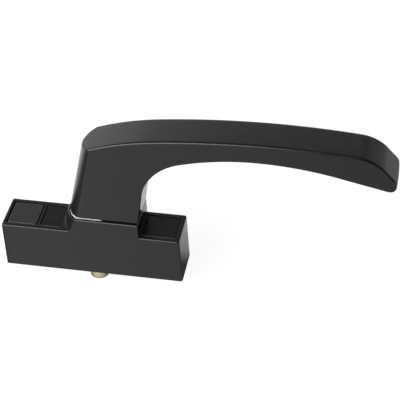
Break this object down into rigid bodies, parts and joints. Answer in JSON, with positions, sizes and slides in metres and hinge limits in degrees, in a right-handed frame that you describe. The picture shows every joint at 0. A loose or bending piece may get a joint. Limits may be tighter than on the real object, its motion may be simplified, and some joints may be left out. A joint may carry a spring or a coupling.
{
  "type": "locking window handle",
  "caption": "Black lever handle for an aluminium window: block housing with a raised collar, a square push button that locks the turn, capped fixing screws and a spindle boss below.",
  "frame": {"origin": "on the turning axis of the lever, in the plane of the mounting face", "axes": "+X along the housing towards the tip of the lever, +Z out of the window into the room, +Y across the housing"},
  "size_m": [0.192, 0.0206, 0.0996],
  "materials": {
    "black_coat": "satin black powder coat",
    "black_cap": "satin",
    "pale_washer": "smooth",
    "brass": "turned",
    "zinc_steel": "zinc plated",
    "spring_steel": "bright",
    "bearing_plastic": "moulded"
  },
  "bodies": {
    "housing": {"housing": "black_coat", "left_cap": "black_cap", "right_cap": "black_cap", "back_plate": "zinc_steel", "back_plate_screws": "zinc_steel", "upper_bush": "bearing_plastic", "lower_bush": "bearing_plastic", "slide_guide": "bearing_plastic", "stop_pin": "zinc_steel", "detent_carrier": "bearing_plastic", "detent_spring": "spring_steel", "button_spring": "spring_steel", "slip_washer": "pale_washer", "disc_spring": "spring_steel"},
    "handle": {"lever": "black_coat", "index_disc": "zinc_steel", "spindle": "brass", "spindle_screw": "zinc_steel"},
    "button": {"lock_button": "black_cap", "button_pin": "zinc_steel"},
    "slide": {"lock_slide": "zinc_steel"},
    "detent": {"detent_ball": "spring_steel"}
  },
  "joints": [
    {"name": "handle_turn", "type": "hinge", "parent": "housing", "child": "handle", "pos_m": [0, 0, 0], "axis": [0, 0, 1], "range_deg": [0, 90]},
    {"name": "button_press", "type": "slide", "parent": "housing", "child": "button", "axis": [0, 0, -1], "range_m": [0, 0.003], "stiffness_N_per_m": 800, "springref_m": -0.002, "deforming": ["button_spring"]},
    {"name": "slide_travel", "type": "slide", "parent": "housing", "child": "slide", "axis": [1, 0, 0], "range_m": [0, 0.003]},
    {"name": "detent_travel", "type": "slide", "parent": "housing", "child": "detent", "axis": [-1, 0, 0], "range_m": [0, 0.0007]}
  ],
  "couplings": [
    {"joint": "slide_travel", "follows": "button_press", "ratio": 1}
  ]
}
